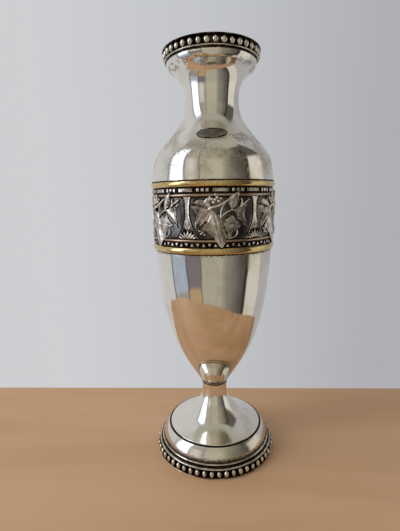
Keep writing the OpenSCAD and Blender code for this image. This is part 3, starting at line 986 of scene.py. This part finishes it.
def leaf(corners, heart, stalk, tips, level, tilt, fold, bulge=0.09, rings=18):
    """A leaf drawn out from its heart; tips[0] is where the fold ends, tilt its rise per mm."""
    outline = bulged(corners, bulge)
    heart = Vector(heart)
    stalk = Vector(stalk)
    tips = [Vector(t) for t in tips]
    spots = []
    rub = []
    for j in range(rings + 1):
        share = (j / rings) ** 0.8
        for p in outline if j else outline[:1]:
            spot = heart.lerp(p, share)
            edge = (p - spot).length
            crease = gap_to_line(spot, stalk, tips[0])
            vein = min(gap_to_line(spot, stalk, tip) for tip in tips)
            lean = (spot - heart).dot(Vector(tilt))
            ridge = -fold * min(crease, 5.0)
            puff = 0.42 * (1 - math.exp(-(vein / 1.3) ** 2)) * min(1.0, edge / 1.2)
            midrib = 0.16 * math.exp(-(vein / 0.22) ** 2) * min(1.0, edge / 0.8)
            curl = 0.3 * math.exp(-(edge / 0.42) ** 2)
            swell = 0.42 * noise.noise(Vector((spot.x, spot.y, level * 9)) / 4.2) * min(1.0, edge)
            stand = level + lean + ridge + puff + midrib + curl + swell
            stand -= RIM_DROP if j == rings else 0.0
            spots.append((spot.x, spot.y, max(LEAF_LOWEST, min(LEAF_HIGHEST, stand))))
            groove = math.exp(-((vein - 0.45) / 0.3) ** 2)
            shine = 0.66 + 0.34 * math.exp(-(edge / 0.5) ** 2) - 0.4 * groove
            rub.append(clamped(shine + 0.36 * (stand - 1.7)))
    count = len(outline)
    for pull, stand in ((0.12, 0.8), (0.3, 0.5)):
        for p in outline:
            inward = (heart - p).normalized() * pull
            spots.append(((p + inward).x, (p + inward).y, stand))
            rub.append(0.05)
    last = len(spots) - count
    faces = [(0, 1 + (k + 1) % count, 1 + k) for k in range(count)]
    faces += belt(rings + 2, count, 1)
    faces.append(tuple(reversed(range(last, last + count))))
    return spots, [face[::-1] for face in faces], rub


print("a leaf stands", LEAF_LOWEST, "to", LEAF_HIGHEST, "mm off the ground")

# %% Five leaves of a sprig
ivy_leaves = [
    leaf([(-9, 226), (-10.8, 229.6), (-9.6, 234.2), (-14, 231), (-18.4, 232), (-21, 230.2),
          (-25, 229), (-22.4, 224.8), (-19.2, 220.8), (-21.2, 215.8), (-20.8, 210.8),
          (-16.8, 213.4), (-13.4, 216.4), (-10.2, 217.4), (-10, 221.6)],
         (-14.8, 224.2), (-9, 225.6), [(-20.8, 211), (-25, 229), (-9.8, 234)],
         1.55, (0.05, 0.03), 0.16),
    leaf([(-9, 224.4), (-9.8, 219.6), (-12, 214.8), (-16.8, 210.4), (-12.4, 209.2), (-10.4, 207.2),
          (-6.8, 204.6), (-4.2, 199.8), (-1.2, 196.2), (1.6, 200), (2.2, 205), (0.6, 212),
          (-2.2, 218.6), (-2.4, 222.6), (-5.8, 222.6)],
         (-5.4, 212), (-8, 224), [(-1.2, 196.4), (-16.6, 210.5), (-2.6, 222)],
         2.3, (-0.015, -0.015), 0.26),
    leaf([(7.2, 224.6), (12, 226.4), (16.4, 229.8), (20.9, 231.9), (19.6, 227.6), (17.6, 223.6),
          (18.2, 217), (19.9, 210.2), (15.8, 213.4), (11.6, 217.8)],
         (14.2, 222), (7.4, 224.4), [(19.8, 210.4), (20.8, 231.6)],
         1.6, (-0.05, 0.01), 0.16),
    leaf([(-1.8, 216.4), (1.6, 220), (7, 222.6), (8.6, 218.6), (11.2, 215.4), (14.8, 213.2),
          (11.6, 210.8), (9.2, 208.6), (6.6, 207.6), (6.4, 204.8), (4.4, 202.2), (1.6, 204),
          (0.6, 207.4), (-0.8, 211)],
         (4.4, 212.4), (-1.2, 216.2), [(14.6, 213.2), (4.5, 202.5), (6.9, 222.3)],
         1.85, (-0.04, -0.03), 0.16),
    leaf([(6.2, 224.2), (4, 229), (4.6, 233.4), (8, 236.2), (13.6, 239), (11.8, 234.6),
          (12.6, 230.4), (9.6, 226.8)],
         (8, 231.2), (6.4, 224.6), [(13.4, 238.7), (12.4, 230.6)],
         2.0, (-0.03, 0.03), 0.3)]
print("leaf points:", [len(shape[0]) for shape in ivy_leaves])


# %% Twigs and berries
def capped(rings, around):
    """Faces of a closed body made of rings of points, with a cap at each end."""
    last = (rings - 1) * around
    return ([face[::-1] for face in belt(rings, around)]
            + [tuple(range(around)), tuple(reversed(range(last, last + around)))])


def twig(path, thick, steps=7, around=10):
    """Round stem through (along, z, stand) points, thinning from thick[0] to thick[1]."""
    line = []
    padded = [path[0]] + list(path) + [path[-1]]
    for i in range(1, len(padded) - 2):
        a, b, c, d = [Vector(p) for p in padded[i - 1:i + 3]]
        for k in range(steps):
            t = k / steps
            line.append(0.5 * (2 * b + (c - a) * t + (2 * a - 5 * b + 4 * c - d) * t * t
                               + (3 * b - a - 3 * c + d) * t * t * t))
    line.append(Vector(path[-1]))
    spots = []
    rub = []
    for i, centre in enumerate(line):
        ahead = line[min(i + 1, len(line) - 1)] - line[max(i - 1, 0)]
        side = Vector((ahead.y, -ahead.x, 0)).normalized()
        share = i / (len(line) - 1)
        size = thick[0] + (thick[1] - thick[0]) * share
        size *= 1 + 0.08 * math.sin(9 * share + path[0][0])
        if i in (0, len(line) - 1):
            size *= 0.55
        for k in range(around):
            t = 2 * math.pi * k / around
            spot = centre + side * size * math.cos(t) + Vector((0, 0, size * math.sin(t)))
            spots.append(tuple(spot))
            rub.append(clamped(0.5 + 0.5 * math.sin(t)))
    return spots, capped(len(line), around), rub


def berry(along, z, size, stand, around=16, up=11):
    """Round berry with a small pit where the flower was."""
    spots = []
    rub = []
    for j in range(up):
        rise = math.pi * j / (up - 1)
        pit = 0.28 * math.exp(-(rise / 0.3) ** 2)
        ring = max(0.02, math.sin(rise)) * size
        for k in range(around):
            t = 2 * math.pi * k / around
            spots.append((along + ring * math.cos(t), z + ring * math.sin(t),
                          stand + size * (math.cos(rise) - pit)))
            rub.append(clamped(0.55 + 0.6 * math.cos(rise) - 1.6 * pit))
    return spots, capped(up, around), rub


print("faces of a berry:", len(berry(0, 0, 1, 0)[1]))

# %% The sprigs
ivy_twigs = [
    twig([(-10.8, 224.4, 1.5), (-8.2, 226.4, 2), (-3.6, 227.6, 2.1), (1, 230, 2),
          (5.4, 232.9, 1.6)], (1.25, 0.75)),
    twig([(3.6, 231.4, 1.9), (0.4, 228.4, 2), (-1.6, 223.6, 1.9), (-1.9, 217.8, 1.9)], (0.6, 0.5)),
    twig([(-1.6, 219.4, 1.7), (1.2, 221.8, 1.9), (5.4, 224, 2), (9, 224.4, 1.8)], (0.55, 0.6)),
    twig([(10.6, 209.6, 1.5), (10.7, 206.8, 1.7), (8.8, 204.6, 1.7), (5.2, 203.2, 1.7)],
         (0.45, 0.4)),
    twig([(12.6, 226.2, 1.9), (16.6, 229.4, 2.1), (21, 232.2, 1.6)], (0.7, 0.45)),
    twig([(13.6, 227.6, 1.9), (14.6, 230, 2), (14.2, 232.8, 1.4)], (0.55, 0.5)),
    twig([(-10.2, 230.6, 1.7), (-10.2, 232.6, 1.9), (-9.4, 235, 1.6)], (0.6, 0.5)),
    twig([(-16.8, 209.4, 1.5), (-16.2, 207.8, 1.5), (-15.4, 206.4, 1.2)], (0.35, 0.3))]
ivy_berries = [
    berry(along, z, size, stand) for along, z, size, stand in (
        (-8.4, 232.4, 1.3, 1.6), (-4.4, 233.6, 1.25, 1.6), (-7.1, 230, 1.35, 1.75),
        (-3.3, 230.9, 1.35, 1.75), (-5.6, 235.6, 1.15, 1.7), (-5.9, 232, 1.2, 1.9),
        (-1.6, 232.8, 1.05, 1.4), (-17.9, 209, 0.85, 1.2), (-16.4, 206.9, 0.95, 1.2),
        (-13.9, 206.2, 0.95, 1.2), (-15.2, 208.2, 0.75, 1.1))]

sprigs = Stamp()
berries = Stamp()
for turn in panel_turns:
    for shape in ivy_leaves + ivy_twigs:
        sprigs.press(shape, turn)
    for shape in ivy_berries:
        berries.press(shape, turn)
sprigs.made("ivy_sprigs", relief, "relief_silver", 60)
berries.made("ivy_berries", relief, "relief_silver", 60)

# %% [markdown]
# ## Stem and foot
# A thin collar hides the joint under the bowl. The trumpet flows from the stem out to a disc with
# a rolled edge, and under it comes a step that bulges outwards. The dark line between the two is
# shadow and old polish left in the gap. Below come a wire, a black groove, a second wire and the
# beads, on a thin plate that rests on the felt.

# %% Collar, trumpet and moulding
# The whole collar is darkened by grime_and_shade: old polish with painted shade under the bowl.
spun("stem_collar", rounded(
    [(3.2, 62.9), (11.85, 62.9), (12.05, 63.15), (12.15, 63.85), (12, 64.15), (3.2, 64.15)], 0.12),
     plate_foot, grime_and_shade_of=lambda r, z: 0.42)

trumpet_curve = smooth_line((
    ((41.8, 22.9), (34.5, 25.2), (27.8, 28.5), (24.3, 32)),
    ((24.3, 32), (17.6, 38.7), (11.5, 44.4), (11.45, 56.8)),
    ((11.45, 56.8), (11.44, 59.2), (11.55, 61), (11.85, 62.85))), (50, 60, 14))
trumpet_outline = (
    [(39.6, 21.05), (41, 21.05), (41, 21.7)]
    + oval(41.8, 22.3, 0.6, 0.6, -90, 60, 8)
    + trumpet_curve
    + [(3.2, 62.85), (3.2, 61.65), (10.3, 61.65)]
    + beside(trumpet_curve, SHEET)[-5:3:-1])
# grime_and_shade darkens the top of the trumpet at the collar and the underside of the disc's edge:
# old polish with painted shade in the gaps.
spun("foot_trumpet", trumpet_outline, plate_foot, BODY_STEPS,
     grime_and_shade_of=lambda r, z: 1.2 * max(ramp(z, 61.4, 62.7), ramp(z, 22.1, 21.7) * ramp(r, 36, 40)))

MOULDING_THICK = 1.4
moulding_curve = curve((44.1, 21.8), (46.6, 19.4), (48.9, 15.6), (49.8, 11), 48)
moulding_outline = (
    [(37, 19.6), (37, 21), (43.2, 21), (43.45, 21.2), (43.6, 21.6), (43.85, 21.85)]
    + moulding_curve
    + [(48.3, 11)]
    + beside(moulding_curve, -MOULDING_THICK)[-4:4:-1]
    + [(43.2, 19.6)])
# grime_and_shade darkens the moulding's inner edge under the disc and towards its bottom: painted
# shade, with old polish in the gap.
spun("foot_moulding", moulding_outline, plate_foot, BODY_STEPS,
     grime_and_shade_of=lambda r, z: max(ramp(r, 44.2, 43.9), 0.7 * ramp(z, 15.5, 11.5)))

# %% Wires, channel, beads and base ring
FILLET_R = 49.5
BEAD_WIRE_R = 51.95
spun("foot_fillet_wire", strip(FILLET_R, 9.85, 1.4, 0.85), bead_silver,
     rub_of=lambda r, z: 0.3 + 0.5 * (r - FILLET_R))
spun("foot_channel", rounded([
    (47.5, 0.9), (51.9, 0.9), (51.9, 8.1), (51, 8.8), (49.45, 8.9), (49.45, 10.95),
    (47.5, 10.95)], 0.2), oxide)
spun("foot_bead_wire", strip(BEAD_WIRE_R, 7.35, 1.6, 0.7), bead_silver,
     rub_of=lambda r, z: 0.3 + 0.45 * (r - BEAD_WIRE_R))
bead_row("foot_beads", 54, 53.9, 3.75, 2.05, 1.95, 2.8)
spun("foot_base_ring", rounded(
    [(50.1, 0.15), (55.1, 0.15)] + oval(55.15, 0.5, 0.5, 0.35, -80, 80, 8)
    + [(55.1, 0.85), (50.1, 0.85)], 0.06), bead_silver,
     rub_of=lambda r, z: 0.2 + 0.7 * max(0.0, r - 54.8))

# %% [markdown]
# ## The pieces inside and underneath
# The stud, its nuts and washers, the closing plate and the baize already have the right shape in
# the frame, so they keep it and only get their finish.

# %% Finishes for the pieces that stay
kept_finish = {"tie_stud": zinc, "bowl_washer": zinc, "bowl_nut": zinc, "foot_washer": zinc,
               "foot_nut": zinc, "base_plate": zinc, "felt_pad": baize}
for name, mat in kept_finish.items():
    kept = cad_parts[name]
    kept.data.materials.clear()
    kept.data.materials.append(mat)
print("kept pieces:", len(kept_finish))

# %% [markdown]
# ## The table
# The vase stands on a plain pale table top that ends at a wall behind it. Its outline matters,
# because the bowl is a curved mirror and shows the whole of its near edge as one long curve. So
# it is a round top, a little off to the left, cut straight along the wall.

# %% Table top
TABLE_MIDDLE = (-0.052, 0.03)
TABLE_ROUND = 0.3
WALL_AT = 0.097
TABLE_THICK = 0.03
TABLE_CHAMFER = 0.001


def round_table(middle, radius, wall_at, steps=96):
    """Outline of a round top whose far side is cut straight where it stands against a wall."""
    start = math.asin((wall_at - middle[1]) / radius)
    turn = [start - (math.pi + 2 * start) * i / steps for i in range(steps + 1)]
    outline = [(middle[0] + radius * math.cos(t), middle[1] + radius * math.sin(t)) for t in turn]
    return outline[::-1]


table_edge = round_table(TABLE_MIDDLE, TABLE_ROUND, WALL_AT)
table_levels = ((-TABLE_THICK, 1.0), (-TABLE_CHAMFER, 1.0), (0.0, 0.998))
table_points = [(x * s, y * s, z) for z, s in table_levels for x, y in table_edge]
top_first = 2 * len(table_edge)
table_faces = [tuple(range(top_first, 3 * len(table_edge))),
               tuple(reversed(range(len(table_edge))))] + belt(3, len(table_edge))
table_mesh = bpy.data.meshes.new("table_top")
table_mesh.from_pydata(table_points, [], table_faces)
floor = bpy.data.objects.new("table_top", table_mesh)
bpy.context.scene.collection.objects.link(floor)
print("table top", round(2 * TABLE_ROUND * 1000), "mm across")

# %% Pale wood
pale_wood, shader, where = new_finish("pale matt table top", 0.0)
tint = speckle(pale_wood, where, 60, 0.3, 0.7, detail=3.0, stretch=(0.12, 1, 1))
plug(pale_wood, shader, {"Base Color": laid_over(pale_wood, "#DCB18B", tint, 1.0, "#CFA57C"),
                         "Roughness": 0.6})
table_mesh.materials.append(pale_wood)
print("made:", pale_wood.name)

# %% [markdown]
# ## The room around
# Polished metal shows its surroundings more than itself, so the room is part of the finish. It
# is painted as a few bands of colour that each run once round the vase and blend into one
# another with height: pale walls to the sides and behind, a darker middle in front, with a dark
# doorway to its right, which gives the silver its contrast.

# %% Directions in the room
room = bpy.data.worlds.new("soft room")
bpy.context.scene.world = room
room.use_nodes = True
look = add(room, "TexCoord", {}, "Generated")
look_right, look_back, look_up = add(room, "SeparateXYZ", {0: look}).node.outputs
to_front = add(room, "Math", {0: look_back, 1: -1.0}, operation="MULTIPLY")
turned = add(room, "Math", {0: look_right, 1: to_front}, operation="ARCTAN2")
full_turn = add(room, "MapRange", {"Value": turned, "From Min": -math.pi, "From Max": math.pi})


def turn_share(degrees):
    """Share of a full turn, from the back, of a direction given in degrees right of the front."""
    return (degrees + 180) / 360


def rise_of(degrees):
    """Upward part of a direction that climbs by so many degrees."""
    return math.sin(math.radians(degrees))


print("front lies at", turn_share(0), "of the turn")


# %% Bands of colour
def walls(stops):
    """Colours once round the room: (degrees to the right of the front, colour)."""
    paint = add(room, "ValToRGB", {"Fac": full_turn})
    marks = paint.node.color_ramp.elements
    while len(marks) < len(stops):
        marks.new(0.5)
    for mark, (degrees, tone) in zip(marks, stops):
        mark.position = turn_share(degrees)
        mark.color = colour(tone)
    return paint


def above(low, high, lower, upper):
    """Changes from one colour to another between two heights, given in degrees above level."""
    share = add(room, "MapRange", {"Value": look_up, "From Min": rise_of(low),
                                   "From Max": rise_of(high)}, interpolation_type="SMOOTHSTEP")
    return laid_over(room, lower, share, 1.0, upper)


LEFT = "#CFCFD2"
BACK = "#C2C4C7"
RIGHT = "#AFAFB3"
SIDE_WALL = "#CBCCCF"
WINDOW_FRAME = "#3A332D"
POST = "#6A6056"
DOOR_STRIP = "#39332E"
CEILING = "#A9A79C"


def around_room(window, beside_window, centre, door, panel):
    """One height of the walls; the parts named are in front of the vase, from left to right."""
    return walls([
        (-180, BACK), (-156, LEFT), (-92, SIDE_WALL), (-90, WINDOW_FRAME), (-88, window),
        (-56, window), (-54, WINDOW_FRAME), (-52, beside_window[0]), (-40, beside_window[1]),
        (-27, beside_window[2]), (-25, POST), (-23, centre), (16, centre), (27, door[0]),
        (43, door[1]), (58, door[2]), (64, door[2]), (66, DOOR_STRIP), (72, DOOR_STRIP),
        (74, panel), (106, panel), (109, RIGHT), (156, RIGHT), (180, BACK)])


LOW_DOOR = ("#8A887C", "#757470", "#5C5653")
ground = around_room("#A09A94", ("#B59B7C",) * 3, "#AEAA9C", LOW_DOOR, "#D0CEC8")
low = around_room("#A9B6CC", ("#7B7479",) * 3, "#AEAA9C", LOW_DOOR, "#D0CEC8")
level = around_room("#C4D2E8", ("#C2BEB8", "#D8D4CE", "#B5AEA6"), "#B9B3A5",
                    ("#8E8B7E", "#7B7972", "#605956"), "#DAD8D2")
high = around_room("#C4D2E8", ("#ADA69B",) * 3, "#B2AC9E", ("#9A9688", "#8A877C", "#6A655C"),
                   "#5C5750")
seen = above(-27, -24, ground, low)
seen = above(-11, -2, seen, level)
seen = above(24, 33, seen, high)
seen = above(58, 64, seen, CEILING)
print("bands of wall: 4 and the ceiling")

# %% [markdown]
# ## Daylight
# A tall window to the left of the front puts the long highlight on neck, shoulder and bowl. Its
# light fades in from every side, so its reflection has no hard edge. The room alone would leave
# the beads flat, so a lamp stands where the window is. It is hidden from mirror reflections,
# because the painted window is already there.

# %% Window glow
DAYLIGHT = (1.9, 2.05, 2.3)
glow = 1.0
for value, start, full in ((full_turn, turn_share(-88), turn_share(-79)),
                           (full_turn, turn_share(-55), turn_share(-63)),
                           (look_up, rise_of(-16), rise_of(7)),
                           (look_up, rise_of(60), rise_of(48))):
    side = add(room, "MapRange", {"Value": value, "From Min": start, "From Max": full},
               interpolation_type="SMOOTHSTEP")
    glow = add(room, "Math", {0: glow, 1: side}, operation="MULTIPLY")
bright = add(room, "VectorMath", {0: DAYLIGHT, "Scale": glow}, operation="SCALE")
lit = add(room, "VectorMath", {0: seen, 1: bright}, operation="ADD")
plug(room, room.node_tree.nodes["Background"], {"Color": lit, "Strength": 1.0})
print("daylight", DAYLIGHT)

# %% Window lamp
LAMP_AT = Vector((-1.13, -0.39, 0.75))
lamp = bpy.data.lights.new("window", "AREA")
lamp.shape = "RECTANGLE"
lamp.size = 0.7
lamp.size_y = 1.0
lamp.energy = 6
lamp.color = colour("#FFF6EC")[:3]
window = bpy.data.objects.new("window", lamp)
window.location = LAMP_AT
aim = Vector((0, 0, LAMP_AT.z)) - LAMP_AT
window.rotation_euler = aim.to_track_quat("-Z", "Y").to_euler()
window.visible_glossy = False
bpy.context.scene.collection.objects.link(window)
print("lamp", round(LAMP_AT.length, 2), "m away")

# %% [markdown]
# ## Camera
# The camera stands close, a hand's breadth more than a foot away, a little above the middle of
# the vase and looking slightly down on its foot, so that the lip is seen from below and the foot
# from above.

# %% Place the camera
VIEW_FROM = (0.0, -0.3254, 0.2324)
PITCH, YAW, ROLL = (math.radians(a) for a in (10.27, -2.13, -0.96))
LENS_MM = 24.75
ahead = Vector((math.sin(YAW) * math.cos(PITCH), math.cos(YAW) * math.cos(PITCH),
                -math.sin(PITCH)))
level_right = Vector((math.cos(YAW), -math.sin(YAW), 0))
level_up = level_right.cross(ahead)
right = math.cos(ROLL) * level_right + math.sin(ROLL) * level_up
up = math.cos(ROLL) * level_up - math.sin(ROLL) * level_right
lens = bpy.data.cameras.new("camera")
lens.lens = LENS_MM
lens.clip_start = 0.01
camera = bpy.data.objects.new("camera", lens)
camera.matrix_world = (Matrix.Translation(VIEW_FROM)
                       @ Matrix((right, up, -ahead)).transposed().to_4x4())
bpy.context.scene.collection.objects.link(camera)
bpy.context.scene.camera = camera
bpy.context.scene.view_settings.view_transform = "Standard"
print("camera", round(Vector(VIEW_FROM[:2]).length * 1000), "mm from the axis")

# %% Finish
print("done")
